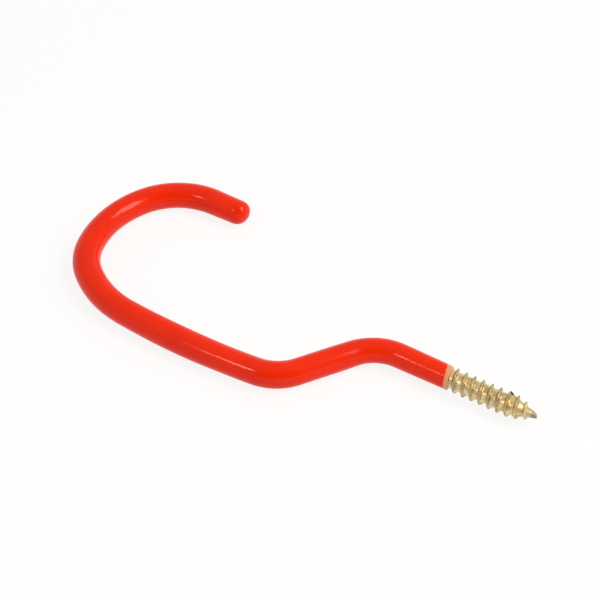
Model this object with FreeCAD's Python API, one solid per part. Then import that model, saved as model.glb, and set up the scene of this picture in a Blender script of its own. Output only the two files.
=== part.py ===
import FreeCAD, Part
import math
import os

# Screw-in utility hook: one steel rod, bent cold, with a wood screw thread rolled on its bare end
# and a dipped vinyl coating over the rest.
#
# Millimetres and degrees. The coating ends at the origin, the screw points along +X and the hook
# lies flat, with its bends in the XY plane and its mouth open towards the screw.

V = FreeCAD.Vector

# Rod and its bends, in order from the coating's end to the hook's tip
ROD_D = 6.35
SHANK_L = 14.95
OFFSET_BEND_R = 15.15
OFFSET_OUT = 53.1
OFFSET_L = 17.35
OFFSET_BACK = 47.1
RUN_L = 44.9
RUN_BOW = 10.5
LOOP_START_R = 34.8
LOOP_START_TURN = 33.7
LOOP_SIDE_R = 19.0
LOOP_SIDE_TURN = 35.6
LOOP_TOP_R = 30.7
LOOP_TOP_TURN = 46.1
LOOP_END_R = 23.0
TIP_L = 8.4
ROD_END_CHAMFER = 0.6

# Coating: it drained thin on the shank and widens along the offset to its full thickness
COAT_SHANK_T = 0.5
COAT_T = 0.95

# Wood screw
SCREW_L = 28.0
COLLAR_L = 0.9
NECK_L = 0.5
PITCH = 2.69
CREST_ABOVE_ROD = 0.35
ROOT_BELOW_ROD = 0.575
CREST_FLAT = 0.25
FLANK_ANGLE = 30.0
POINT_L = 6.6
POINT_TIP_D = 1.2
THREAD_START_ANGLE = -69.8
RUN_OUT_START = 0.72
RUN_OUT_L = 0.82
RUN_OUT_SUNK = 0.1
TIP_BARE_L = 1.8
TIP_THREAD_SHARE = 0.75

# How far the thread's ridge is rooted in the core, and how finely its helix is drawn
RIDGE_DEPTH = 0.35
POLES_PER_TURN = 12

# Worked out from the sizes above
ROD_R = ROD_D / 2
COAT_SHANK_R = ROD_R + COAT_SHANK_T
COAT_R = ROD_R + COAT_T
CREST_R = ROD_R + CREST_ABOVE_ROD
ROOT_R = ROD_R - ROOT_BELOW_ROD
POINT_TIP_R = POINT_TIP_D / 2
THREAD_H = CREST_R - ROOT_R
THREAD_FIRST_X = COLLAR_L + RUN_OUT_START
THREAD_LAST_X = SCREW_L - TIP_BARE_L
POINT_X = SCREW_L - POINT_L

# The tip leg ends parallel to the screw, so the loop's last bend turns back all that the others leave
LOOP_END_TURN = 180.0 + OFFSET_OUT - OFFSET_BACK - RUN_BOW - LOOP_START_TURN - LOOP_SIDE_TURN - LOOP_TOP_TURN
RUN_R = RUN_L / math.radians(RUN_BOW)


def along(heading):
    """The unit direction in the XY plane of a heading in degrees."""
    angle = math.radians(heading)
    return V(math.cos(angle), math.sin(angle), 0)


class BentPath:
    """The rod's centreline: straights joined by tangent bends, with a station after each."""

    def __init__(self, start, heading):
        self.stations = [(start, heading)]
        self.edges = []

    def straight(self, length):
        start, heading = self.stations[-1]
        end = start + along(heading) * length
        self.edges.append(Part.LineSegment(start, end).toShape())
        self.stations.append((end, heading))

    def bend(self, turn, radius):
        """A bend of so many degrees, to the left when positive."""
        start, heading = self.stations[-1]
        side = math.copysign(radius, turn)
        centre = start + along(heading + 90) * side
        middle = centre - along(heading + turn / 2 + 90) * side
        end = centre - along(heading + turn + 90) * side
        self.edges.append(Part.Arc(start, middle, end).toShape())
        self.stations.append((end, heading + turn))

    def ring(self, station, radius):
        """A circle square to the path at one of its stations."""
        point, heading = self.stations[station]
        return Part.Wire(Part.makeCircle(radius, point, along(heading)))

    def tube(self, first, last, radius):
        """A solid round bar of one radius between two stations."""
        wire = Part.Wire(self.edges[first:last])
        return wire.makePipe(Part.Face(self.ring(first, radius)))

    def cone(self, first, first_radius, last_radius):
        """A solid round bar that widens evenly along the straight that leaves a station."""
        point, heading = self.stations[first]
        length = point.distanceToPoint(self.stations[first + 1][0])
        return Part.makeCone(first_radius, last_radius, length, point, along(heading))


def hook_path():
    """The rod's path, and the station where the offset's straight begins."""
    path = BentPath(V(0, 0, 0), 180.0)
    path.straight(SHANK_L)
    path.bend(OFFSET_OUT, OFFSET_BEND_R)
    offset = len(path.edges)
    path.straight(OFFSET_L)
    path.bend(-OFFSET_BACK, OFFSET_BEND_R)
    path.bend(-RUN_BOW, RUN_R)
    path.bend(-LOOP_START_TURN, LOOP_START_R)
    path.bend(-LOOP_SIDE_TURN, LOOP_SIDE_R)
    path.bend(-LOOP_TOP_TURN, LOOP_TOP_R)
    path.bend(-LOOP_END_TURN, LOOP_END_R)
    path.straight(TIP_L)
    return path, offset


def turned(profile):
    """A solid turned about the X axis from (x, radius) points that start and end on the axis."""
    points = [V(x, radius, 0) for x, radius in profile]
    outline = Part.makePolygon(points + points[:1])
    return Part.Face(outline).revolve(V(0, 0, 0), V(1, 0, 0), 360)


def root_radius(x):
    """The thread's root: a cylinder that ends in the cone of the point."""
    into_point = max(x - POINT_X, 0) / POINT_L
    return ROOT_R + (POINT_TIP_R - ROOT_R) * into_point


def thread_height(x):
    """How far the crest stands over the root: it fades along the point and runs out at both ends."""
    rise = min((x - THREAD_FIRST_X) / RUN_OUT_L, (THREAD_LAST_X - x) / RUN_OUT_L, 1)
    fade = max(x - POINT_X, 0) / (THREAD_LAST_X - POINT_X)
    full = THREAD_H * (1 - (1 - TIP_THREAD_SHARE) * fade)
    return full * rise - RUN_OUT_SUNK * (1 - rise)


def ridge_section(x):
    """The four corners of the ridge where its crest passes x, as (x, radius)."""
    base = root_radius(x) - RIDGE_DEPTH
    crest = root_radius(x) + thread_height(x)
    half_crest = CREST_FLAT / 2
    half_base = half_crest + (crest - base) * math.tan(math.radians(FLANK_ANGLE))
    return [(x - half_base, base), (x - half_crest, crest), (x + half_crest, crest), (x + half_base, base)]


def ridge_edges():
    """The ridge's four long edges, each a cubic spline that winds round the X axis right-handed."""
    turns = (THREAD_LAST_X - THREAD_FIRST_X) / PITCH
    count = round(turns * POLES_PER_TURN)
    # A cubic spline runs inside poles on a circle, so the poles stand out by this much
    outset = 3 / (2 + math.cos(2 * math.pi / POLES_PER_TURN))
    corners = [[], [], [], []]
    for step in range(count + 1):
        x = THREAD_FIRST_X + (THREAD_LAST_X - THREAD_FIRST_X) * step / count
        angle = math.radians(THREAD_START_ANGLE) + 2 * math.pi * (x - THREAD_FIRST_X) / PITCH
        for corner, (corner_x, radius) in zip(corners, ridge_section(x)):
            pole_r = radius * outset
            corner.append(V(corner_x, pole_r * math.cos(angle), pole_r * math.sin(angle)))
    knots = [index / (count - 2) for index in range(count - 1)]
    repeats = [4] + [1] * (count - 3) + [4]
    edges = []
    for poles in corners:
        spline = Part.BSplineCurve()
        spline.buildFromPolesMultsKnots(poles, repeats, knots, False, 3)
        edges.append(spline)
    return edges, turns


def thread_ridge():
    """The thread as one solid ridge, with its own faces for each turn."""
    edges, turns = ridge_edges()
    whole_turns = max(round(turns), 1)
    cuts = [turn / whole_turns for turn in range(whole_turns + 1)]
    faces = []
    for first, last in zip(cuts, cuts[1:]):
        spans = [edge.toShape(first, last) for edge in edges]
        for span, next_span in zip(spans, spans[1:] + spans[:1]):
            faces.append(Part.makeRuledSurface(span, next_span, 1))
    for end in (0.0, 1.0):
        corners = [edge.value(end) for edge in edges]
        faces.append(Part.Face(Part.makePolygon(corners + corners[:1])))
    shell = Part.Shell(faces)
    shell.sewShape()
    ridge = Part.Solid(shell)
    if ridge.Volume < 0:
        ridge.reverse()
    return ridge


def screw_core():
    """Collar, neck, root and point, reaching back to the coating's end."""
    neck_x = COLLAR_L + NECK_L
    return turned([
        (0, 0),
        (0, ROD_R),
        (COLLAR_L, ROD_R),
        (neck_x, ROOT_R),
        (POINT_X, ROOT_R),
        (SCREW_L, POINT_TIP_R),
        (SCREW_L, 0),
    ])


def bent_bar(path):
    """The bare rod from the coating's end to its cut end inside the hook's tip."""
    last = len(path.edges)
    bar = path.tube(0, last, ROD_R)
    end = path.stations[last][0]
    cut_end = [edge for edge in bar.Edges if is_ring_at(edge, end)]
    return bar.makeChamfer(ROD_END_CHAMFER, cut_end)


def is_ring_at(edge, point):
    """Whether an edge is the circle round this point."""
    return isinstance(edge.Curve, Part.Circle) and edge.Curve.Center.isEqual(point, 1e-3)


def steel_hook_rod(path):
    """The bent rod with its screw: one cold-formed piece."""
    screw = screw_core().fuse(thread_ridge())
    return bent_bar(path).fuse(screw).removeSplitter().Solids[0]


def coating_outside(path, offset):
    """The coating's outer form, filled: thin as far as the offset, wider along it, then full."""
    last = len(path.edges)
    thin = path.tube(0, offset, COAT_SHANK_R)
    widening = path.cone(offset, COAT_SHANK_R, COAT_R)
    full = path.tube(offset + 1, last, COAT_R)
    dome = Part.makeSphere(COAT_R, path.stations[last][0])
    return thin.fuse([widening, full, dome]).removeSplitter().Solids[0]


def vinyl_coating(path, offset):
    """The coating: a skin closed over the hook's tip, face to face with the rod inside it."""
    return coating_outside(path, offset).cut(bent_bar(path)).Solids[0]


def main():
    path, offset = hook_path()
    nodes = {
        "steel_hook_rod": steel_hook_rod(path),
        "vinyl_coating": vinyl_coating(path, offset),
    }
    os.makedirs("parts", exist_ok=True)
    for name, shape in nodes.items():
        shape.exportStep(f"parts/{name}.step")
        print(name, "valid", shape.isValid(), "faces", len(shape.Faces), f"volume {shape.Volume:.1f} mm3")


main()
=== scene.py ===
"""Screw-in utility hook: a bent steel rod with a rolled wood screw thread, dipped in red vinyl.

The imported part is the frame. Two pieces stand for its two nodes, each grown by Geometry Nodes from
the sizes below, and a stage holds the floor, the lamps and the camera.
"""

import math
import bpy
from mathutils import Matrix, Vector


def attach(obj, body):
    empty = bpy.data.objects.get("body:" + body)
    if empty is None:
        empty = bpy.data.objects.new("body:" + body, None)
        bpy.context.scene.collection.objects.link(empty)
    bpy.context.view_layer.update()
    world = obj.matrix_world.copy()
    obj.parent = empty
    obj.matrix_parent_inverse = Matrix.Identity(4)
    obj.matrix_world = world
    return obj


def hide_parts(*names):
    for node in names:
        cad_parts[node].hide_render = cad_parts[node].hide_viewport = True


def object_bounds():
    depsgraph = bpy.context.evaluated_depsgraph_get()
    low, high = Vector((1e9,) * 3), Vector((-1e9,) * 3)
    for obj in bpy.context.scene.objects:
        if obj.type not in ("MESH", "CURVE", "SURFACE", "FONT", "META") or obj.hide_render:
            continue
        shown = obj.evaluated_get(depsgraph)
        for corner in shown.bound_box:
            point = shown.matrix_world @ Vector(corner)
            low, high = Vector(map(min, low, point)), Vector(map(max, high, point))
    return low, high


bl_info = {
    "name": "Screw-in utility hook",
    "version": (1, 0, 0),
    "blender": (4, 5, 0),
    "location": "View3D > Sidebar > Hook",
    "description": "Builds a vinyl-dipped screw-in hook around its packed solids",
    "category": "Add Mesh",
}

from functools import partial

import bpy
from mathutils import Vector

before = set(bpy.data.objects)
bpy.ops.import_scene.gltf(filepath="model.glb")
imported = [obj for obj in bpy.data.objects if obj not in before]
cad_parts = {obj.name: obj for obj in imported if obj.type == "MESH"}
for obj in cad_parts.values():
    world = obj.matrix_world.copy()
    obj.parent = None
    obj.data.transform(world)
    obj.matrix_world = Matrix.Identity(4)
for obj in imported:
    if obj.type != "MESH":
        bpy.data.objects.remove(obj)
CAD_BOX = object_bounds()

MM = 0.001
BODY = "root"

# How finely the pieces are drawn
SEGMENTS = 96
ROWS_PER_TURN = 26
CAP_TURNS = 0.25
BAR_ROWS = 200
SKIN_ROWS = 420
INSIDE_ROWS = 160
TIP_ROWS = 24
LIP_ROWS = 6
WELD = 1e-6
PATH_STEP = 0.25 * MM

# The path runs straight on past both ends, so that the screw and the tip lie on it
PATH_LEAD = 40 * MM

# Where the path's legs start, as how many legs come before
FIRST_BEND, OFFSET, SECOND_BEND, RUN, LOOP_START, LOOP_SIDE, LOOP_TOP = range(1, 8)
TIP, PATH_END = 9, 10

# The burr: its slopes towards the point and behind, its fall round the screw, and its blend
BURR_SMEAR = 0.5
BURR_BACK = -3.0
BURR_ROUND = 14 * MM
BURR_BLEND = 0.1 * MM

# The point: how fast its lean and its slanting cut come in, and how far its cap bulges
LEAN_POWER = 2.0
CUT_POWER = 8.0
CAP_BULGE = 0.5

# The skin's lip: how far it bites into the thread's root, its rounding, where its slant ends,
# and how far down the neck it closes
LIP_BITE = 0.1 * MM
LIP_ROUNDING = 0.3 * MM
LIP_SLANT_END = 6 * MM
NECK_CLOSED = 0.7

# The length over which the closed end's slant comes in
TIP_SLANT_LENGTH = 3 * MM

# Noise scales: a grain is about 1 / scale metres across
COATING_WAVES = 110.0
RED_CLOUDS = 85.0
EDGE_WAVER = 700.0
ORANGE_PEEL = 1200.0
VINYL_RUBS = 260.0
CREST_ROLLING = 500.0
ZINC_BLOTCHES = 650.0
ZINC_SHADES = 200.0
ROLLING_MARKS = (6000.0, 600.0, 600.0)

# The stretch of its noise over which each comes in, and how much the soiled zinc covers
RED_CLOUDS_SPAN = (0.35, 0.7)
VINYL_RUBS_SPAN = (0.3, 0.75)
CREST_ROLLING_SPAN = (0.3, 0.7)
ZINC_SHADES_SPAN = (0.4, 0.6)
ZINC_SOILED_SPAN = (0.42, 0.62)
ZINC_DULL_SPAN = (0.3, 0.7)
SOILED_COVER = 0.75

# How far the red's edge wavers, and half the width over which it fades
WAVER_REACH = 0.3 * MM
EDGE_FADE = 0.25 * MM

# How far from its end the point is worn pale, and where it turns grey
PALE_POINT = 4 * MM
GREY_POINT = (2.3 * MM, 1.1 * MM)

# How far under their tops the crests' painted shade begins and is darkest, and by what share
CREST_SHADE_DEPTHS = (0.6 * MM, 0.1 * MM)
CREST_SHADE_SHARE = 0.55

# The burr's bare steel: how far in and on its middle lies, and where it fades out
BURR_MIDDLE = 0.4 * MM
BURR_STEEL = (0.7 * MM, 1.1 * MM)

# Roughness from the glossiest to the dullest, and what is added where the zinc is rubbed
VINYL_ROUGHNESS = (0.13, 0.2)
ZINC_ROUGHNESS = (0.33, 0.46)
RUBBED_ROUGHNESS = 0.22

# The kinds of node used most: a Mix is of numbers and a Map Range is to 0 and 1 by default
MATH = "ShaderNodeMath"
VECTOR_MATH = "ShaderNodeVectorMath"
MAP_RANGE = "ShaderNodeMapRange"
MIX = "ShaderNodeMix"
NOISE = "ShaderNodeTexNoise"


def linear(hex_colour):
    """An sRGB hex colour as linear RGBA."""
    channels = [int(hex_colour[i:i + 2], 16) / 255 for i in (1, 3, 5)]
    curved = [c / 12.92 if c <= 0.04045 else ((c + 0.055) / 1.055) ** 2.4 for c in channels]
    return (*curved, 1.0)


def length(name, description, millimetres):
    """A length property, given in millimetres and kept in metres."""
    return bpy.props.FloatProperty(
        name=name, description=description, default=millimetres * MM, unit="LENGTH", precision=5
    )


def angle(name, description, degrees):
    """An angle property, given in degrees and kept in radians."""
    return bpy.props.FloatProperty(
        name=name, description=description, default=math.radians(degrees), subtype="ANGLE"
    )


def share(name, description, value):
    """A plain number between 0 and 1."""
    return bpy.props.FloatProperty(
        name=name, description=description, default=value, min=0.0, max=1.0, subtype="FACTOR"
    )


def colour(name, description, hex_colour):
    """A colour property, given as sRGB hex."""
    return bpy.props.FloatVectorProperty(
        name=name, description=description, default=linear(hex_colour), size=4, subtype="COLOR"
    )


class HookRodSizes(bpy.types.PropertyGroup):
    """The steel rod and its bends, in order from the coating's end to the tip."""

    diameter: length("Rod diameter", "Thickness of the bare steel rod", 6.35)
    shank: length("Shank", "Straight between the coating's end and the first bend", 14.95)
    bend_radius: length("Offset bend radius", "Centreline radius of the two offset bends", 15.15)
    bend_out: angle("Offset out", "How far the first bend turns away from the screw's line", 53.1)
    offset: length("Offset", "Straight between the two offset bends", 17.35)
    bend_back: angle("Offset back", "How far the second bend turns back", 47.1)
    run: length("Run", "Gently bowed stretch between the offset and the loop", 44.9)
    run_bow: angle("Run bow", "How far the run turns over its length", 10.5)
    start_radius: length("Loop start radius", "Centreline radius where the loop begins", 34.8)
    start_turn: angle("Loop start", "How far the loop's first bend turns", 33.7)
    side_radius: length("Loop side radius", "Centreline radius at the loop's tight side", 19.0)
    side_turn: angle("Loop side", "How far the loop's second bend turns", 35.6)
    top_radius: length("Loop top radius", "Centreline radius over the loop's back", 30.7)
    top_turn: angle("Loop top", "How far the loop's third bend turns", 46.1)
    end_radius: length("Loop end radius", "Centreline radius of the bend before the tip", 23.0)
    tip: length("Tip", "Straight at the end of the loop", 8.4)
    end_chamfer: length("End chamfer", "Chamfer of the rod's cut end, inside the tip", 0.6)


class HookScrewSizes(bpy.types.PropertyGroup):
    """The wood screw rolled on the rod's bare end."""

    length: length("Screw length", "From the coating's end to the point", 28.0)
    collar: length("Collar", "Bare rod between the coating and the neck", 0.3)
    neck: length("Neck", "Cone from the rod down to the thread's root", 0.5)
    pitch: length("Pitch", "Distance from crest to crest", 2.69)
    crest_proud: length("Crest height", "How far the crests stand over the rod", 0.35)
    root_depth: length("Root depth", "How far the root lies under the rod's surface", 0.575)
    crest_flat: length("Crest flat", "Width of the crest's flat", 0.25)
    flank: angle("Flank angle", "Between a flank and the plane square to the screw", 30.0)
    point: length("Point length", "Length of the tapered point", 6.6)
    point_end: length("Point end", "Diameter of the point's blunt end", 1.2)
    thread_start: length("Thread start", "Where the thread begins, under the coating's film", 0.4)
    start_angle: angle("Start angle", "Where round the screw the thread begins", 127.0)
    run_out: length("Run-out", "Length over which the thread rises or runs out", 0.8)
    run_out_sunk: length("Run-out sunk", "How far the thread starts under the root", 0.1)
    tip_bare: length("Bare tip", "Length of the point that carries no thread", 1.8)
    tip_height: share("Tip height", "Thread height left at the point, as a share", 0.75)
    root_fillet: length("Root fillet", "Softness of the corner between flank and root", 0.1)
    crest_wander: share("Crest wander", "How much the rolled crests differ in height", 0.1)
    lean: length("Point lean", "How far the blunt point leans to one side", 0.1)
    slant: length("Point slant", "How far the blunt end is cut off slanting", 0.43)
    lean_angle: angle("Lean angle", "Where round the screw the point leans to", 37.0)
    burr_place: length("Burr place", "Where along the screw a crest is smeared over", 18.6)
    burr_top: length("Burr top", "The burr's distance from the screw's axis", 3.72)
    burr_angle: angle("Burr angle", "Where round the screw the burr lies", 37.0)


class HookCoatingSizes(bpy.types.PropertyGroup):
    """The dipped vinyl: thin on the shank, fuller where it drained to."""

    shank: length("On the shank", "Coating on the shank and the first bend", 0.54)
    near_lip: length("Near the lip", "Coating where it drained thinnest, at the screw", 0.39)
    offset: length("On the offset", "Coating on the straight between the offset bends", 0.75)
    thickness: length("Thickness", "Full coating, which it doesn't pass above or below", 0.95)
    drained: length("Drained", "How much thinner than full it is between its sags", 0.065)
    run_sag: length("Run sag", "Extra coating that gathered on the run", 0.17)
    start_sag: length("Loop start sag", "Extra coating that gathered where the loop begins", 0.09)
    loop_sag: length("Loop sag", "Extra coating that gathered on the loop's tight side", 0.26)
    end_sag: length("End sag", "Extra coating that gathered before the tip", 0.09)
    film: length("Film", "How far a thin film runs past the lip over the thread", 1.2)
    film_slant: length("Film slant", "How far the film's end slants over half the thickness", 0.5)
    edge: length("Red edge", "How far behind the coating's end the full red stops", 0.41)
    edge_slant: length("Red edge slant", "How far the red edge slants to either side", 0.955)
    edge_angle: angle("Red edge angle", "Side of the screw where the red reaches furthest", 170.3)
    tip_cap: length("Tip cap", "How far the closed end stands past the rod's straight", 4.0)
    tip_slant: length("Tip slant", "How far the closed end slants over half the thickness", 0.3)
    tip_thinning: length("Tip thinning", "How much thinner the coating is round the tip", 0.09)
    tip_squareness: bpy.props.FloatProperty(
        name="Tip squareness", description="2 is a round end and more is squarer", default=2.3
    )
    drip_angle: angle("Drip angle", "Side of the hook that the film and the tip lean to", 22.0)
    unevenness: length("Unevenness", "How far the cured surface wanders", 0.03)


class HookFinishes(bpy.types.PropertyGroup):
    """The colours of the two materials."""

    vinyl: colour("Vinyl", "Body colour of the red plastisol", "#EC2B03")
    vinyl_deep: colour("Vinyl, deep", "The same in its deeper clouds", "#E52702")
    film: colour("Film", "Vinyl so thin over the steel that it shows through", "#DFA077")
    zinc: colour("Zinc", "Yellow passivated zinc", "#EAD498")
    zinc_pale: colour("Zinc, pale", "The same where the passivation is thin", "#EAD9B4")
    zinc_dark: colour("Zinc, dark", "The same where it is thick or soiled", "#B3985E")
    # The crests' grey is painted shade: the dark reflection the crests show at the outline
    zinc_crest_shade: colour("Zinc, crests", "The same where crests are handled grey", "#A39A78")
    zinc_point: colour("Zinc, point", "Dull grey where the blunt end is worn", "#A69E8D")
    bare_steel: colour("Burr", "Dark steel where the plating is torn", "#1C1B16")


def add_node(tree, kind, inputs=None, **settings):
    """Adds a node, sets its own settings, and gives its inputs values, sockets or nodes."""
    node = tree.nodes.new(kind)
    for name, value in settings.items():
        setattr(node, name, value)
    for key, value in (inputs or {}).items():
        if isinstance(value, bpy.types.Node):
            value = value.outputs[0]
        if isinstance(value, bpy.types.NodeSocket):
            tree.links.new(value, node.inputs[key])
        else:
            node.inputs[key].default_value = value
    return node


def start_tree(name, inputs):
    """A Geometry Nodes tree, what adds its nodes, and its inputs, which come named by kind."""
    tree = bpy.data.node_groups.new(name, "GeometryNodeTree")
    tree.is_modifier = True
    face = tree.interface
    face.new_socket(name="Geometry", in_out="INPUT", socket_type="NodeSocketGeometry")
    for kind, labels in inputs.items():
        for label in labels:
            face.new_socket(name=label, in_out="INPUT", socket_type=f"NodeSocket{kind}")
    face.new_socket(name="Geometry", in_out="OUTPUT", socket_type="NodeSocketGeometry")
    node = partial(add_node, tree)
    return tree, node, node("NodeGroupInput").outputs


def rolled_grid(node, rings, segments):
    """A grid to roll into rings: its mesh, and each point's ring, turn, cosine and sine."""
    around = node("FunctionNodeIntegerMath", {0: segments, 1: 1}, operation="ADD")
    grid = node("GeometryNodeMeshGrid", {"Vertices X": rings, "Vertices Y": around})
    index = node("GeometryNodeInputIndex")
    ring = node("FunctionNodeIntegerMath", {0: index, 1: around}, operation="DIVIDE_FLOOR")
    step = node("FunctionNodeIntegerMath", {0: index, 1: around}, operation="MODULO")
    turn = node(MATH, {0: step, 1: segments}, operation="DIVIDE")
    round_angle = node(MATH, {0: turn, 1: 2 * math.pi}, operation="MULTIPLY")
    cosine = node(MATH, {0: round_angle}, operation="COSINE")
    sine = node(MATH, {0: round_angle}, operation="SINE")
    return grid.outputs["Mesh"], ring, turn, cosine, sine


def end_tree(node, geometry, finish):
    """Welds the seams, then smooth shading, Realize Instances and Set Material end the tree."""
    welded = node("GeometryNodeMergeByDistance", {"Geometry": geometry, "Distance": WELD})
    beside = node("GeometryNodeInputMeshEdgeNeighbors")
    loose = node("FunctionNodeCompare", {2: beside, 3: 0}, data_type="INT", operation="EQUAL")
    closed = node(
        "GeometryNodeDeleteGeometry", {"Geometry": welded, "Selection": loose}, domain="EDGE"
    )
    smooth = node("GeometryNodeSetShadeSmooth", {"Geometry": closed})
    real = node("GeometryNodeRealizeInstances", {"Geometry": smooth})
    dressed = node("GeometryNodeSetMaterial", {"Geometry": real, "Material": finish})
    node("NodeGroupOutput", {"Geometry": dressed})


def start_material(name):
    """An empty node material, and what adds its nodes."""
    material = bpy.data.materials.new(name)
    material.use_nodes = True
    material.node_tree.nodes.clear()
    return material, partial(add_node, material.node_tree)


def add_modifier(piece, tree, values):
    """Puts a tree on a piece and sets its inputs by their identifiers."""
    modifier = piece.modifiers.new(tree.name, "NODES")
    modifier.node_group = tree
    for item in tree.interface.items_tree:
        if item.item_type == "SOCKET" and item.in_out == "INPUT" and item.name in values:
            modifier[item.identifier] = values[item.name]


def settle(context, piece):
    """Turns a piece's modifiers into its plain mesh."""
    evaluated = piece.evaluated_get(context.evaluated_depsgraph_get())
    mesh = bpy.data.meshes.new_from_object(evaluated)
    mesh.name = piece.name
    if not mesh.polygons:
        raise RuntimeError(f"{piece.name} came out empty")
    piece.modifiers.clear()
    piece.data = mesh


def add_object(context, name, data):
    """Puts a new object with this data in the scene, at the origin."""
    added = bpy.data.objects.new(name, data)
    context.scene.collection.objects.link(added)
    return added


def add_mesh(context, name, points, faces=()):
    """An object whose mesh is these points and faces."""
    mesh = bpy.data.meshes.new(name)
    mesh.from_pydata(points, [], faces)
    return add_object(context, name, mesh)


def rod_legs(rod):
    """The path's legs as (length, turn), in order from the coating's end to the tip."""
    bends = rod.start_turn + rod.side_turn + rod.top_turn
    end_turn = math.pi + rod.bend_out - rod.bend_back - rod.run_bow - bends
    return [
        (rod.shank, 0),
        (rod.bend_radius * rod.bend_out, rod.bend_out),
        (rod.offset, 0),
        (rod.bend_radius * rod.bend_back, -rod.bend_back),
        (rod.run, -rod.run_bow),
        (rod.start_radius * rod.start_turn, -rod.start_turn),
        (rod.side_radius * rod.side_turn, -rod.side_turn),
        (rod.top_radius * rod.top_turn, -rod.top_turn),
        (rod.end_radius * end_turn, -end_turn),
        (rod.tip, 0),
    ]


def station_of(rod, place):
    """How far along the path one of its places lies."""
    return sum(leg for leg, _ in rod_legs(rod)[:place])


def add_path(context, rod):
    """The rod's centreline as a curve: it starts ahead of the screw and runs on past the tip."""
    place = Vector((PATH_LEAD, 0, 0))
    heading = math.pi
    points = [place.copy()]
    for leg, turn in [(PATH_LEAD, 0), *rod_legs(rod), (PATH_LEAD, 0)]:
        steps = max(round(leg / PATH_STEP), 1)
        for _ in range(steps):
            middle = heading + turn / steps / 2
            place = place + Vector((math.cos(middle), math.sin(middle), 0)) * (leg / steps)
            heading += turn / steps
            points.append(place.copy())
    curve = bpy.data.curves.new("rod_path", "CURVE")
    curve.dimensions = "3D"
    spline = curve.splines.new("POLY")
    spline.points.add(len(points) - 1)
    for at, point in zip(spline.points, points):
        at.co = (*point, 1)
    return add_object(context, "rod_path", curve)


def bar_tree():
    """Makes each (station, radius, slant) point of a section a ring round the path there."""
    tree, node, given = start_tree("Round bar along a path", {
        "Object": ("Path",),
        "Float": ("Lead", "Half height", "Unevenness"),
        "Int": ("Segments",),
        "Vector": ("Slant side",),
        "Material": ("Finish",),
    })
    rings = node("GeometryNodeAttributeDomainSize", {"Geometry": given["Geometry"]})
    grid, ring, _, cosine, sine = rolled_grid(
        node, rings.outputs["Point Count"], given["Segments"]
    )
    place = node("GeometryNodeInputPosition")
    section = node(
        "GeometryNodeSampleIndex",
        {"Geometry": given["Geometry"], "Value": place, "Index": ring},
        data_type="FLOAT_VECTOR",
        domain="POINT",
    )
    parts = node("ShaderNodeSeparateXYZ", {0: section})
    # The ring's own frame: the path stays flat, so one side lies in its plane and one points up
    path = node("GeometryNodeObjectInfo", {"Object": given["Path"]})
    station = node(MATH, {0: parts.outputs["X"], 1: given["Lead"]}, operation="ADD")
    square_on = node(
        "GeometryNodeSampleCurve",
        {"Curves": path.outputs["Geometry"], "Length": station},
        mode="LENGTH",
    )
    sideways = node(
        VECTOR_MATH, {0: square_on.outputs["Tangent"], 1: (0, 0, 1)}, operation="CROSS_PRODUCT"
    )
    across = node(VECTOR_MATH, {0: sideways, "Scale": cosine}, operation="SCALE")
    upright = node("ShaderNodeCombineXYZ", {"Z": sine})
    outwards = node(VECTOR_MATH, {0: across, 1: upright}, operation="ADD")
    # A slanting ring is drawn further along the path on one side of the hook
    to_side = node(VECTOR_MATH, {0: outwards, 1: given["Slant side"]}, operation="DOT_PRODUCT")
    slanted = node(
        MATH,
        {0: to_side.outputs["Value"], 1: parts.outputs["Z"], 2: station},
        operation="MULTIPLY_ADD",
    )
    centre = node(
        "GeometryNodeSampleCurve",
        {"Curves": path.outputs["Geometry"], "Length": slanted},
        mode="LENGTH",
    )
    # What gathered on a sag stands out to the sides, and is flattened above and below
    height = node(MATH, {0: parts.outputs["Y"], 1: given["Half height"]}, operation="MINIMUM")
    reach = node(VECTOR_MATH, {0: across, "Scale": parts.outputs["Y"]}, operation="SCALE")
    rise = node(VECTOR_MATH, {0: upright, "Scale": height}, operation="SCALE")
    wide = node(VECTOR_MATH, {0: centre.outputs["Position"], 1: reach}, operation="ADD")
    surface = node(VECTOR_MATH, {0: wide, 1: rise}, operation="ADD")
    bent = node("GeometryNodeSetPosition", {"Geometry": grid, "Position": surface})
    # Slow waves about 9 mm long, as a thick dip leaves when it flows and sets
    waves = node(NOISE, {"Vector": place, "Scale": COATING_WAVES, "Detail": 1.0, "Roughness": 0.4})
    centred = node(MATH, {0: waves, 1: 0.5}, operation="SUBTRACT")
    swell = node(MATH, {0: centred, 1: given["Unevenness"]}, operation="MULTIPLY")
    shift = node(
        VECTOR_MATH, {0: node("GeometryNodeInputNormal"), "Scale": swell}, operation="SCALE"
    )
    uneven = node("GeometryNodeSetPosition", {"Geometry": bent, "Offset": shift})
    end_tree(node, uneven, given["Finish"])
    return tree


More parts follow.
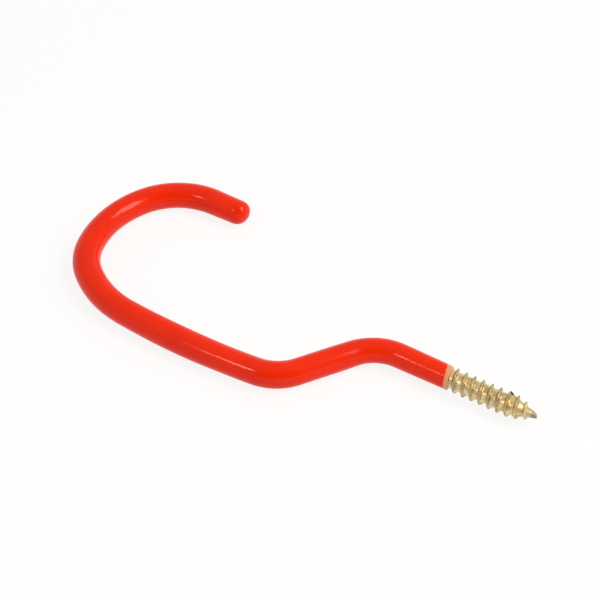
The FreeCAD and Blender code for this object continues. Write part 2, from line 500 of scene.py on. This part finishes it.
def thread_tree():
    """Winds the screw in rows that follow its helix, and welds it to the collar's ring."""
    tree, node, given = start_tree("Rolled wood screw thread", {
        "Float": (
            "Pitch", "Collar end", "Neck length", "Rod radius", "Root radius", "Height",
            "Half flat", "Crest offset", "Thread start", "Thread end", "Run-out", "Sunk",
            "Point start", "Point length", "Tip radius", "End", "Fillet", "Lean", "Slant",
            "Flank slope", "Tip height", "Crest wander", "Cap turns", "Burr place", "Burr top",
        ),
        "Int": ("Rows", "Rows per turn", "Segments"),
        "Vector": ("Lean side", "Burr side"),
        "Material": ("Finish",),
    })
    grid, row, turn, cosine, sine = rolled_grid(node, given["Rows"], given["Segments"])
    outwards = node("ShaderNodeCombineXYZ", {"Y": cosine, "Z": sine})
    # Row n starts n parts of a turn after one turn before the collar's end, and winds one turn on
    row_turns = node(MATH, {0: row, 1: given["Rows per turn"]}, operation="DIVIDE")
    from_collar = node(MATH, {0: row_turns, 1: 1.0}, operation="SUBTRACT")
    row_x = node(
        MATH, {0: from_collar, 1: given["Pitch"], 2: given["Collar end"]}, operation="MULTIPLY_ADD"
    )
    free_x = node(MATH, {0: turn, 1: given["Pitch"], 2: row_x}, operation="MULTIPLY_ADD")
    x = node("ShaderNodeClamp", {"Value": free_x, "Min": given["Collar end"], "Max": given["End"]})
    # Distance from the middle of the nearest crest
    off_crest = node(MATH, {0: row_x, 1: given["Crest offset"]}, operation="SUBTRACT")
    half_pitch = node(MATH, {0: given["Pitch"], 1: 0.5}, operation="MULTIPLY")
    low_pitch = node(MATH, {0: given["Pitch"], 1: -0.5}, operation="MULTIPLY")
    wrapped = node(MATH, {0: off_crest, 1: half_pitch, 2: low_pitch}, operation="WRAP")
    away = node(MATH, {0: wrapped}, operation="ABSOLUTE")
    # Root: a cylinder that ends in the cone of the point, with the neck's cone over its start
    into_point = node(MATH, {0: x, 1: given["Point start"]}, operation="SUBTRACT")
    point_share = node(
        MATH, {0: into_point, 1: given["Point length"]}, operation="DIVIDE", use_clamp=True
    )
    root = node(MIX, {0: point_share, 2: given["Root radius"], 3: given["Tip radius"]})
    neck_end = node(MATH, {0: given["Collar end"], 1: given["Neck length"]}, operation="ADD")
    neck_step = node(MATH, {0: given["Rod radius"], 1: given["Root radius"]}, operation="SUBTRACT")
    neck = node(
        MAP_RANGE,
        {0: x, 1: given["Collar end"], 2: neck_end, 3: neck_step, 4: 0.0},
        interpolation_type="SMOOTHSTEP",
    )
    base = node(MATH, {0: root, 1: neck}, operation="ADD")
    # Crest: it rises from the start, fades along the point and runs out before its tip
    risen_x = node(MATH, {0: given["Thread start"], 1: given["Run-out"]}, operation="ADD")
    rise = node(MAP_RANGE, {0: x, 1: given["Thread start"], 2: risen_x})
    falling_x = node(MATH, {0: given["Thread end"], 1: given["Run-out"]}, operation="SUBTRACT")
    fall = node(MAP_RANGE, {0: x, 1: falling_x, 2: given["Thread end"], 3: 1.0, 4: 0.0})
    there = node(MATH, {0: rise, 1: fall}, operation="MINIMUM")
    fade = node(
        MAP_RANGE,
        {0: x, 1: given["Point start"], 2: given["Thread end"], 3: 1.0, 4: given["Tip height"]},
    )
    # The rolled crests come out a little higher and lower over about 2 mm
    along = node(VECTOR_MATH, {0: outwards, "Scale": given["Rod radius"]}, operation="SCALE")
    on_rod = node("ShaderNodeCombineXYZ", {"X": row_x})
    rolled_at = node(VECTOR_MATH, {0: along, 1: on_rod}, operation="ADD")
    rolled = node(NOISE, {"Vector": rolled_at, "Scale": CREST_ROLLING, "Detail": 1.0})
    low_crest = node(MATH, {0: 1.0, 1: given["Crest wander"]}, operation="SUBTRACT")
    high_crest = node(MATH, {0: 1.0, 1: given["Crest wander"]}, operation="ADD")
    low, high = CREST_ROLLING_SPAN
    wander = node(MAP_RANGE, {0: rolled, 1: low, 2: high, 3: low_crest, 4: high_crest})
    full = node(MATH, {0: given["Height"], 1: wander}, operation="MULTIPLY")
    faded = node(MATH, {0: full, 1: fade}, operation="MULTIPLY")
    height = node(MATH, {0: faded, 1: there}, operation="MULTIPLY")
    not_there = node(MATH, {0: 1.0, 1: there}, operation="SUBTRACT")
    sunk = node(MATH, {0: not_there, 1: given["Sunk"]}, operation="MULTIPLY")
    proud = node(MATH, {0: height, 1: sunk}, operation="SUBTRACT")
    crest = node(MATH, {0: root, 1: proud}, operation="ADD")
    past_flat = node(MATH, {0: away, 1: given["Half flat"]}, operation="SUBTRACT")
    down_flank = node(MATH, {0: past_flat, 1: 0.0}, operation="MAXIMUM")
    drop = node(MATH, {0: down_flank, 1: given["Flank slope"]}, operation="DIVIDE")
    ridge = node(MATH, {0: crest, 1: drop}, operation="SUBTRACT")
    threaded = node(MATH, {0: base, 1: ridge, 2: given["Fillet"]}, operation="SMOOTH_MAX")
    # The burr: steep behind, smeared on towards the point, and about 1.5 mm wide round the screw
    past_burr = node(MATH, {0: x, 1: given["Burr place"]}, operation="SUBTRACT")
    smear = node(MATH, {0: past_burr, 1: BURR_SMEAR}, operation="MULTIPLY")
    behind = node(MATH, {0: past_burr, 1: BURR_BACK}, operation="MULTIPLY")
    burr_along = node(MATH, {0: smear, 1: behind}, operation="MAXIMUM")
    burr_chord = node(VECTOR_MATH, {0: outwards, 1: given["Burr side"]}, operation="DISTANCE")
    burr_round = node(MATH, {0: burr_chord.outputs["Value"], 1: 2.0}, operation="POWER")
    burr_fall = node(MATH, {0: burr_round, 1: BURR_ROUND, 2: burr_along}, operation="MULTIPLY_ADD")
    burr = node(MATH, {0: given["Burr top"], 1: burr_fall}, operation="SUBTRACT")
    burred = node(MATH, {0: threaded, 1: burr, 2: BURR_BLEND}, operation="SMOOTH_MAX")
    # The first ring keeps the collar's own radius, so that the two weld
    at_collar = node(MATH, {0: x, 1: given["Collar end"], 2: WELD}, operation="COMPARE")
    held_radius = node(MIX, {0: at_collar, 2: burred, 3: given["Rod radius"]})
    # Past the end the rows close over the blunt tip
    past_end = node(MATH, {0: free_x, 1: given["End"]}, operation="SUBTRACT")
    cap_length = node(MATH, {0: given["Cap turns"], 1: given["Pitch"]}, operation="MULTIPLY")
    cap = node(MATH, {0: past_end, 1: cap_length}, operation="DIVIDE", use_clamp=True)
    cap_angle = node(MATH, {0: cap, 1: math.pi / 2}, operation="MULTIPLY")
    cap_cosine = node(MATH, {0: cap_angle}, operation="COSINE")
    cap_sine = node(MATH, {0: cap_angle}, operation="SINE")
    radius = node(MATH, {0: held_radius, 1: cap_cosine}, operation="MULTIPLY")
    bulge = node(MATH, {0: cap_sine, 1: given["Tip radius"]}, operation="MULTIPLY")
    capped_x = node(MATH, {0: bulge, 1: CAP_BULGE, 2: x}, operation="MULTIPLY_ADD")
    # The blunt point leans to one side, more and more towards its end, and is cut off slanting
    lean_share = node(MATH, {0: point_share, 1: LEAN_POWER}, operation="POWER")
    to_lean = node(VECTOR_MATH, {0: outwards, 1: given["Lean side"]}, operation="DOT_PRODUCT")
    cut_back = node(MATH, {0: to_lean.outputs["Value"], 1: given["Slant"]}, operation="MULTIPLY")
    cut_share = node(MATH, {0: point_share, 1: CUT_POWER}, operation="POWER")
    cut_round = node(MATH, {0: cut_share, 1: cap_cosine}, operation="MULTIPLY")
    cut = node(MATH, {0: cut_back, 1: cut_round}, operation="MULTIPLY")
    cut_x = node(MATH, {0: capped_x, 1: cut}, operation="SUBTRACT")
    on_axis = node("ShaderNodeCombineXYZ", {"X": cut_x})
    reach = node(VECTOR_MATH, {0: outwards, "Scale": radius}, operation="SCALE")
    upright = node(VECTOR_MATH, {0: on_axis, 1: reach}, operation="ADD")
    lean = node(MATH, {0: lean_share, 1: given["Lean"]}, operation="MULTIPLY")
    leaning = node(VECTOR_MATH, {0: given["Lean side"], "Scale": lean}, operation="SCALE")
    surface = node(VECTOR_MATH, {0: upright, 1: leaning}, operation="ADD")
    wound = node("GeometryNodeSetPosition", {"Geometry": grid, "Position": surface})
    outside = node("GeometryNodeFlipFaces", {"Mesh": wound})
    both = node("GeometryNodeJoinGeometry")
    tree.links.new(outside.outputs[0], both.inputs[0])
    tree.links.new(given["Geometry"], both.inputs[0])
    end_tree(node, both, given["Finish"])
    return tree


def side(around):
    """The unit vector square to the screw at an angle round it, 0 towards +Y and 90 degrees up."""
    return Vector((0, math.cos(around), math.sin(around)))


def smooth_step(value, low, high):
    """0 below low, 1 above high, and an even S between."""
    t = min(max((value - low) / (high - low), 0), 1)
    return t * t * (3 - 2 * t)


def swelling(value, centre, half_length):
    """1 at the centre, and an even fall to 0 at half a length to either side."""
    t = min(abs(value - centre) / half_length, 1)
    return (1 + math.cos(math.pi * t)) / 2


def rod_section(rod, screw):
    """Collar, bar and cut end, as (station, radius, slant) from the collar's ring to the axis."""
    radius = rod.diameter / 2
    end = station_of(rod, PATH_END)
    bar_end = end - rod.end_chamfer
    section = [(-screw.collar, radius, 0)]
    section += [(bar_end * i / BAR_ROWS, radius, 0) for i in range(BAR_ROWS + 1)]
    section += [(end, radius - rod.end_chamfer, 0), (end, 0, 0)]
    return section


def coating_radius(rod, coating, station):
    """The coating's outside along the path: thin at the lip, fuller on its sags."""
    offset = station_of(rod, OFFSET)
    second_bend = station_of(rod, SECOND_BEND)
    run = station_of(rod, RUN)
    loop = station_of(rod, LOOP_START)
    tip = station_of(rod, TIP)
    full = coating.thickness - coating.drained
    thickness = coating.near_lip
    # Each step: how much thicker, and from where to where
    steps = (
        (coating.shank - coating.near_lip, 0, station_of(rod, FIRST_BEND)),
        (coating.offset - coating.shank, offset - 7 * MM, offset + 6 * MM),
        (full - coating.offset, second_bend - 2 * MM, run - 4 * MM),
        (-coating.tip_thinning, tip, station_of(rod, PATH_END)),
    )
    for rise, low, high in steps:
        thickness += rise * smooth_step(station, low, high)
    side_middle = (station_of(rod, LOOP_SIDE) + station_of(rod, LOOP_TOP)) / 2
    # Each sag: how much thicker at its middle, where that is, and half the sag's length
    sags = (
        (coating.run_sag, (run + loop) / 2 + 5 * MM, 20 * MM),
        (coating.start_sag, loop + 6 * MM, 14 * MM),
        (coating.loop_sag, side_middle - 4 * MM, 22 * MM),
        (coating.end_sag, tip - 4 * MM, 9 * MM),
    )
    for sag, centre, half_length in sags:
        thickness += sag * swelling(station, centre, half_length)
    return rod.diameter / 2 + thickness


def coating_section(rod, screw, coating):
    """The vinyl skin all round, from its film over the outside to the tip and back inside."""
    end = station_of(rod, PATH_END)
    rod_radius = rod.diameter / 2
    inner = rod_radius - screw.root_depth - LIP_BITE
    film_radius = coating_radius(rod, coating, 0)
    # The film's end is a square face with a rounded edge
    slant = coating.film_slant
    section = [(-coating.film, inner, slant)]
    for i in range(LIP_ROWS, -1, -1):
        turned = math.pi / 2 * i / LIP_ROWS
        station = -coating.film + LIP_ROUNDING * (1 - math.sin(turned))
        section.append((station, film_radius - LIP_ROUNDING * (1 - math.cos(turned)), slant))
    # Its slant dies out along the first millimetres of the shank
    start = -coating.film + LIP_ROUNDING
    for i in range(1, SKIN_ROWS):
        station = start + (end - start) * i / SKIN_ROWS
        slanting = slant * (1 - smooth_step(station, start, LIP_SLANT_END))
        slanting += coating.tip_slant * smooth_step(station, end - TIP_SLANT_LENGTH, end)
        section.append((station, coating_radius(rod, coating, station), slanting))
    # The closed end is squarer than a ball, because the rod in it is cut square
    power = coating.tip_squareness
    last = coating_radius(rod, coating, end)
    for i in range(TIP_ROWS):
        t = math.sin(math.pi / 2 * i / TIP_ROWS)
        radius = last * (1 - t ** power) ** (1 / power)
        section.append((end + coating.tip_cap * t, radius, coating.tip_slant * radius / last))
    section.append((end + coating.tip_cap, 0, 0))
    # Inside, the skin lies on the rod, and closes into the thread's root under the film
    bar_end = end - rod.end_chamfer
    section += [(end, 0, 0), (end, rod_radius - rod.end_chamfer, 0)]
    section += [(bar_end * (1 - i / INSIDE_ROWS), rod_radius, 0) for i in range(INSIDE_ROWS + 1)]
    neck_end = screw.collar + screw.neck
    section += [(-screw.collar / 2, rod_radius, 0), (-neck_end * NECK_CLOSED, inner, 0)]
    section.append((-coating.film, inner, slant))
    return section


def vinyl_material(rod, coating, finishes):
    """Plastisol, dipped and oven cured: a wet-looking gloss over one solid red, level but for a
    faint orange peel, cloudy by a shade, and so thin at its lip that the steel shows through."""
    material, node = start_material("dipped_red_plastisol")
    place = node("ShaderNodeTexCoord").outputs["Object"]
    # Cloudy shades about 12 mm across
    clouds = node(NOISE, {"Vector": place, "Scale": RED_CLOUDS, "Detail": 2.0})
    amount = node(MAP_RANGE, {0: clouds, 1: RED_CLOUDS_SPAN[0], 2: RED_CLOUDS_SPAN[1]})
    red = node(MIX, {0: amount, 6: finishes.vinyl, 7: finishes.vinyl_deep}, data_type="RGBA")
    # How far past the red's slanting edge a point lies, with a waver of about 0.1 mm
    radius = rod.diameter / 2 + coating.near_lip
    across = Vector((1, 0, 0)) - side(coating.edge_angle) * (coating.edge_slant / radius)
    past_edge = node(VECTOR_MATH, {0: place, 1: across}, operation="DOT_PRODUCT")
    waver = node(NOISE, {"Vector": place, "Scale": EDGE_WAVER, "Detail": 1.0})
    wavering = node(
        MATH, {0: waver, 1: WAVER_REACH, 2: past_edge.outputs["Value"]}, operation="MULTIPLY_ADD"
    )
    edge = WAVER_REACH / 2 - coating.edge
    thinned = node(
        MAP_RANGE,
        {0: wavering, 1: edge - EDGE_FADE, 2: edge + EDGE_FADE},
        interpolation_type="SMOOTHSTEP",
    )
    body = node(MIX, {0: thinned, 6: red.outputs[2], 7: finishes.film}, data_type="RGBA")
    # The red steps down to the film, under orange peel with grains about 0.8 mm across
    peel = node(NOISE, {"Vector": place, "Scale": ORANGE_PEEL, "Detail": 1.0})
    step_down = node(
        "ShaderNodeBump", {"Strength": 1.0, "Distance": 0.1 * MM, "Height": thinned}, invert=True
    )
    bump = node(
        "ShaderNodeBump",
        {"Strength": 0.1, "Distance": 0.03 * MM, "Height": peel, "Normal": step_down},
    )
    # The gloss breaks up a little where hands and hooks have rubbed
    rubbed = node(NOISE, {"Vector": place, "Scale": VINYL_RUBS, "Detail": 4.0})
    low, high = VINYL_RUBS_SPAN
    glossy, dull = VINYL_ROUGHNESS
    roughness = node(MAP_RANGE, {0: rubbed, 1: low, 2: high, 3: glossy, 4: dull})
    shader = node(
        "ShaderNodeBsdfPrincipled",
        {
            "Base Color": body.outputs[2],
            "Roughness": roughness,
            "IOR": 1.5,
            "Specular IOR Level": 0.2,
            "Normal": bump,
        },
    )
    node("ShaderNodeOutputMaterial", {"Surface": shader})
    return material


def zinc_material(rod_radius, screw, finishes):
    """Rolled steel with yellow passivated zinc: a dull pale gold, blotched from greyish to olive
    brown, with fine rolling marks, a grey point and one burr torn down to dark steel; its crests
    are greyed as painted shade."""
    material, node = start_material("yellow_zinc_on_rolled_steel")
    place = node("ShaderNodeTexCoord").outputs["Object"]
    # Blotches of the passivation about 1.5 mm across, over slower shades about 5 mm across
    blotches = node(NOISE, {"Vector": place, "Scale": ZINC_BLOTCHES, "Detail": 4.0})
    low, high = ZINC_SOILED_SPAN
    soiled = node(MAP_RANGE, {0: blotches, 1: low, 2: high, 4: SOILED_COVER})
    shades = node(NOISE, {"Vector": place, "Scale": ZINC_SHADES, "Detail": 1.0})
    thin = node(MAP_RANGE, {0: shades, 1: ZINC_SHADES_SPAN[0], 2: ZINC_SHADES_SPAN[1]})
    # The point is worn pale over its last 4 mm
    along = node("ShaderNodeSeparateXYZ", {0: place})
    worn = node(
        MAP_RANGE,
        {0: along.outputs["X"], 1: screw.length - screw.point, 2: screw.length - PALE_POINT},
        interpolation_type="SMOOTHSTEP",
    )
    pale = node(MATH, {0: thin, 1: worn}, operation="MAXIMUM")
    # The crests' outer 0.6 mm is greyed as painted shade, standing in for the dark reflection they
    # show at the outline
    off_axis = node(VECTOR_MATH, {0: place, 1: (0, 1, 1)}, operation="MULTIPLY")
    from_axis = node(VECTOR_MATH, {0: off_axis}, operation="LENGTH")
    crest_radius = rod_radius + screw.crest_proud
    shade_painted_and_dulled = node(
        MAP_RANGE,
        {
            0: from_axis.outputs["Value"],
            1: crest_radius - CREST_SHADE_DEPTHS[0],
            2: crest_radius - CREST_SHADE_DEPTHS[1],
            4: CREST_SHADE_SHARE,
        },
        interpolation_type="SMOOTHSTEP",
    )
    # The point's last 2 mm are worn to a dull grey
    blunted = node(
        MAP_RANGE,
        {0: along.outputs["X"], 1: screw.length - GREY_POINT[0], 2: screw.length - GREY_POINT[1]},
        interpolation_type="SMOOTHSTEP",
    )
    # The burr's bare steel reaches about 0.9 mm from its middle
    middle = Vector((screw.burr_place + BURR_MIDDLE, 0, 0))
    middle += side(screw.burr_angle) * (screw.burr_top - BURR_MIDDLE)
    from_burr = node(VECTOR_MATH, {0: place, 1: middle}, operation="DISTANCE")
    torn = node(
        MAP_RANGE,
        {0: from_burr.outputs["Value"], 1: BURR_STEEL[0], 2: BURR_STEEL[1], 3: 1.0, 4: 0.0},
        interpolation_type="SMOOTHSTEP",
    )
    # Each colour covers the ones before it by its share
    metal = finishes.zinc
    for cover, over in (
        (pale, finishes.zinc_pale),
        (soiled, finishes.zinc_dark),
        # The crests' grey layer is painted shade
        (shade_painted_and_dulled, finishes.zinc_crest_shade),
        (blunted, finishes.zinc_point),
        (torn, finishes.bare_steel),
    ):
        layer = node(MIX, {0: cover, 6: metal, 7: over}, data_type="RGBA")
        metal = layer.outputs[2]
    # Rolling marks about 0.17 mm apart along the screw
    marks = node("ShaderNodeMapping", {"Vector": place, "Scale": ROLLING_MARKS})
    lines = node(NOISE, {"Vector": marks, "Scale": 1.0, "Detail": 3.0})
    bump = node("ShaderNodeBump", {"Strength": 0.35, "Distance": 0.05 * MM, "Height": lines})
    # Crests and point are rubbed dull
    rubbed = node(MATH, {0: worn, 1: shade_painted_and_dulled}, operation="MAXIMUM")
    low, high = ZINC_DULL_SPAN
    bright, dull = ZINC_ROUGHNESS
    plain = node(MAP_RANGE, {0: blotches, 1: low, 2: high, 3: bright, 4: dull})
    roughness = node(MATH, {0: rubbed, 1: RUBBED_ROUGHNESS, 2: plain}, operation="MULTIPLY_ADD")
    shader = node(
        "ShaderNodeBsdfPrincipled",
        {"Base Color": metal, "Metallic": 1.0, "Roughness": roughness, "Normal": bump},
    )
    node("ShaderNodeOutputMaterial", {"Surface": shader})
    return material


class HOOK_OT_steel_rod(bpy.types.Operator):
    """Build the bent steel rod with its rolled screw"""

    bl_idname = "hook.steel_rod"
    bl_label = "Steel rod and screw"

    def execute(self, context):
        rod = context.scene.hook_rod
        screw = context.scene.hook_screw
        rod_radius = rod.diameter / 2
        finish = zinc_material(rod_radius, screw, context.scene.hook_finishes)
        path = add_path(context, rod)
        piece = add_mesh(context, "threaded_steel_rod", rod_section(rod, screw))
        tip_radius = screw.point_end / 2
        end = screw.length - tip_radius * CAP_BULGE
        turns = (end - screw.collar) / screw.pitch + 1 + CAP_TURNS
        add_modifier(piece, bar_tree(), {
            "Path": path,
            "Lead": PATH_LEAD,
            "Segments": SEGMENTS,
            "Half height": rod_radius,
            "Slant side": side(0),
            "Unevenness": 0.0,
            "Finish": finish,
        })
        add_modifier(piece, thread_tree(), {
            "Pitch": screw.pitch,
            "Collar end": screw.collar,
            "Neck length": screw.neck,
            "Rod radius": rod_radius,
            "Root radius": rod_radius - screw.root_depth,
            "Height": screw.root_depth + screw.crest_proud,
            "Half flat": screw.crest_flat / 2,
            "Crest offset": screw.thread_start - screw.pitch * screw.start_angle / (2 * math.pi),
            "Thread start": screw.thread_start,
            "Thread end": screw.length - screw.tip_bare,
            "Run-out": screw.run_out,
            "Sunk": screw.run_out_sunk,
            "Point start": screw.length - screw.point,
            "Point length": screw.point,
            "Tip radius": tip_radius,
            "End": end,
            "Fillet": screw.root_fillet,
            "Lean": screw.lean,
            "Slant": screw.slant,
            "Lean side": side(screw.lean_angle),
            "Flank slope": math.tan(screw.flank),
            "Tip height": screw.tip_height,
            "Crest wander": screw.crest_wander,
            "Cap turns": CAP_TURNS,
            "Burr place": screw.burr_place,
            "Burr top": screw.burr_top,
            "Burr side": side(screw.burr_angle),
            "Rows": math.ceil(turns * ROWS_PER_TURN) + 2,
            "Rows per turn": ROWS_PER_TURN,
            "Segments": SEGMENTS,
            "Finish": finish,
        })
        settle(context, piece)
        bpy.data.objects.remove(path)
        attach(piece, BODY)
        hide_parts("steel_hook_rod")
        return {"FINISHED"}


class HOOK_OT_vinyl_coating(bpy.types.Operator):
    """Build the dipped vinyl skin that covers the hook"""

    bl_idname = "hook.vinyl_coating"
    bl_label = "Vinyl coating"

    def execute(self, context):
        rod = context.scene.hook_rod
        screw = context.scene.hook_screw
        coating = context.scene.hook_coating
        finish = vinyl_material(rod, coating, context.scene.hook_finishes)
        path = add_path(context, rod)
        piece = add_mesh(context, "dipped_vinyl_skin", coating_section(rod, screw, coating))
        add_modifier(piece, bar_tree(), {
            "Path": path,
            "Lead": PATH_LEAD,
            "Segments": SEGMENTS,
            "Half height": rod.diameter / 2 + coating.thickness,
            "Slant side": side(coating.drip_angle),
            "Unevenness": coating.unevenness,
            "Finish": finish,
        })
        settle(context, piece)
        bpy.data.objects.remove(path)
        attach(piece, BODY)
        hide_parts("vinyl_coating")
        return {"FINISHED"}


# The camera looks at this point of the hook from this side, and sees the photograph's frame
CAMERA_TARGET = Vector((-50.738, 3.93, 0)) * MM
CAMERA_AZIMUTH = math.radians(30.47)
CAMERA_ELEVATION = math.radians(48.572)
CAMERA_DISTANCE = 415.0 * MM
CAMERA_LENS = 83.33
CAMERA_CLIP = 10 * MM

# The hook lies on the floor
FLOOR_Z = CAD_BOX[0][2]
FLOOR_SIZE = 3.0

# The studio: even light all round, a dim end behind the camera, and a white backdrop
STUDIO_LIGHT = 0.64
STUDIO_TINT = "#FFFAEE"
DIM_END_LIGHT = 0.12
DIM_END_AZIMUTH = math.radians(35)
DIM_END_ELEVATION = math.radians(50)
DIM_END_CORE = math.radians(22)
DIM_END_EDGE = math.radians(45)
BACKDROP_TOP = math.radians(10)
BACKDROP_FADE = math.radians(24)

# The paper's colour, and its own light's share near the hook, with how far that reaches
PAPER = "#F8FAFF"
PAPER_LIGHT = 0.87
PAPER_NEAR = 0.2
PAPER_FAR = 0.6

# The lamps as (name, azimuth, elevation, size, roll, level, tint), in degrees and metres
LAMPS = (
    ("side_softbox", 109, 51.5, (0.72, 0.43), 35, 6.7, "#FFF0DC"),
    ("front_lamp", -21.5, 48.5, (0.15, 0.17), 0, 15.5, "#FFF3E2"),
)


def direction(azimuth, elevation):
    """The unit vector towards an azimuth, 0 at the front and counted to the right."""
    flat = math.cos(elevation)
    return Vector((math.sin(azimuth) * flat, -math.cos(azimuth) * flat, math.sin(elevation)))


def seen_rays(node):
    """1 for rays that show the background itself: from the camera, in gloss and through glass."""
    rays = node("ShaderNodeLightPath").outputs
    either = node(MATH, {0: rays["Is Camera Ray"], 1: rays["Is Glossy Ray"]}, operation="MAXIMUM")
    return node(MATH, {0: either, 1: rays["Is Transmission Ray"]}, operation="MAXIMUM")


def floor_material():
    """Matt white backdrop paper: it lights itself where it is seen, and keeps a shadow."""
    material, node = start_material("white_backdrop_paper")
    paper = node("ShaderNodeBsdfDiffuse", {"Color": linear(PAPER)})
    white = node("ShaderNodeEmission", {"Color": (1, 1, 1, 1), "Strength": 1.0})
    # Far from the hook the lamps don't reach it, so there it is all its own light
    place = node("ShaderNodeTexCoord").outputs["Object"]
    away = node(VECTOR_MATH, {0: place}, operation="LENGTH")
    own_light = node(
        MAP_RANGE,
        {0: away.outputs["Value"], 1: PAPER_NEAR, 2: PAPER_FAR, 3: PAPER_LIGHT, 4: 1.0},
        interpolation_type="SMOOTHSTEP",
    )
    lit_share = node(MATH, {0: seen_rays(node), 1: own_light}, operation="MULTIPLY")
    both = node("ShaderNodeMixShader", {0: lit_share, 1: paper, 2: white})
    node("ShaderNodeOutputMaterial", {"Surface": both})
    return material


def set_world(context):
    """The studio's even light with its dim end, and white where the backdrop is seen."""
    world = bpy.data.worlds.new("studio")
    world.use_nodes = True
    world.node_tree.nodes.clear()
    node = partial(add_node, world.node_tree)
    towards = node("ShaderNodeTexCoord").outputs["Generated"]
    dim_end = direction(DIM_END_AZIMUTH, DIM_END_ELEVATION)
    facing = node(VECTOR_MATH, {0: towards, 1: dim_end}, operation="DOT_PRODUCT")
    light = node(
        MAP_RANGE,
        {
            0: facing.outputs["Value"],
            1: math.cos(DIM_END_EDGE),
            2: math.cos(DIM_END_CORE),
            3: STUDIO_LIGHT,
            4: DIM_END_LIGHT,
        },
        interpolation_type="SMOOTHSTEP",
    )
    parts = node("ShaderNodeSeparateXYZ", {0: towards})
    backdrop = node(
        MAP_RANGE,
        {
            0: parts.outputs["Z"],
            1: math.sin(BACKDROP_TOP),
            2: math.sin(BACKDROP_FADE),
            3: 1.0,
            4: 0.0,
        },
        interpolation_type="SMOOTHSTEP",
    )
    white_share = node(MATH, {0: seen_rays(node), 1: backdrop}, operation="MULTIPLY")
    strength = node(MIX, {0: white_share, 2: light, 3: 1.0})
    tint = node(MIX, {0: white_share, 6: linear(STUDIO_TINT), 7: (1, 1, 1, 1)}, data_type="RGBA")
    sky = node("ShaderNodeBackground", {"Color": tint.outputs[2], "Strength": strength})
    node("ShaderNodeOutputWorld", {"Surface": sky})
    context.scene.world = world


def add_softbox(context, name, azimuth, elevation, size, roll, level, tint):
    """An oval area lamp a metre away that faces the hook; level is how bright its face is."""
    lamp = bpy.data.lights.new(name, "AREA")
    lamp.shape = "ELLIPSE"
    lamp.size, lamp.size_y = size
    lamp.energy = level * math.pi * lamp.size * lamp.size_y
    lamp.color = linear(tint)[:3]
    holder = add_object(context, name, lamp)
    towards = direction(math.radians(azimuth), math.radians(elevation))
    holder.location = CAMERA_TARGET + towards
    facing = (-towards).to_track_quat("-Z", "Y").to_euler()
    facing.rotate_axis("Z", math.radians(roll))
    holder.rotation_euler = facing


class HOOK_OT_stage(bpy.types.Operator):
    """Set up the floor, the soft lamps, the world and the camera"""

    bl_idname = "hook.stage"
    bl_label = "Stage"

    def execute(self, context):
        half = FLOOR_SIZE / 2
        corners = [(-half, -half), (half, -half), (half, half), (-half, half)]
        floor = add_mesh(context, "floor", [(x, y, FLOOR_Z) for x, y in corners], [(0, 1, 2, 3)])
        floor.data.materials.append(floor_material())
        set_world(context)
        for lamp in LAMPS:
            add_softbox(context, *lamp)
        camera_data = bpy.data.cameras.new("camera")
        camera_data.lens = CAMERA_LENS
        camera_data.clip_start = CAMERA_CLIP
        camera = add_object(context, "camera", camera_data)
        back = direction(CAMERA_AZIMUTH, CAMERA_ELEVATION)
        camera.location = CAMERA_TARGET + back * CAMERA_DISTANCE
        camera.rotation_euler = (-back).to_track_quat("-Z", "Y").to_euler()
        context.scene.camera = camera
        context.scene.view_settings.view_transform = "Standard"
        return {"FINISHED"}


GROUPS = {
    "hook_rod": HookRodSizes,
    "hook_screw": HookScrewSizes,
    "hook_coating": HookCoatingSizes,
    "hook_finishes": HookFinishes,
}
OPERATORS = (HOOK_OT_steel_rod, HOOK_OT_vinyl_coating, HOOK_OT_stage)


class HOOK_PT_panel(bpy.types.Panel):
    """Lists the hook's sizes, its colours and the steps that build it"""

    bl_idname = "HOOK_PT_panel"
    bl_label = "Screw-in utility hook"
    bl_space_type = "VIEW_3D"
    bl_region_type = "UI"
    bl_category = "Hook"

    def draw(self, context):
        layout = self.layout
        for attribute, group in GROUPS.items():
            box = layout.box()
            values = getattr(context.scene, attribute)
            for name in group.__annotations__:
                box.prop(values, name)
        for operator in OPERATORS:
            layout.operator(operator.bl_idname)


CLASSES = (*GROUPS.values(), *OPERATORS, HOOK_PT_panel)


def register():
    for cls in CLASSES:
        bpy.utils.register_class(cls)
    for attribute, group in GROUPS.items():
        setattr(bpy.types.Scene, attribute, bpy.props.PointerProperty(type=group))


def unregister():
    for attribute in GROUPS:
        delattr(bpy.types.Scene, attribute)
    for cls in reversed(CLASSES):
        bpy.utils.unregister_class(cls)


def main():
    register()
    bpy.ops.hook.steel_rod()
    bpy.ops.hook.vinyl_coating()
    bpy.ops.hook.stage()


if __name__ == "__main__":
    main()
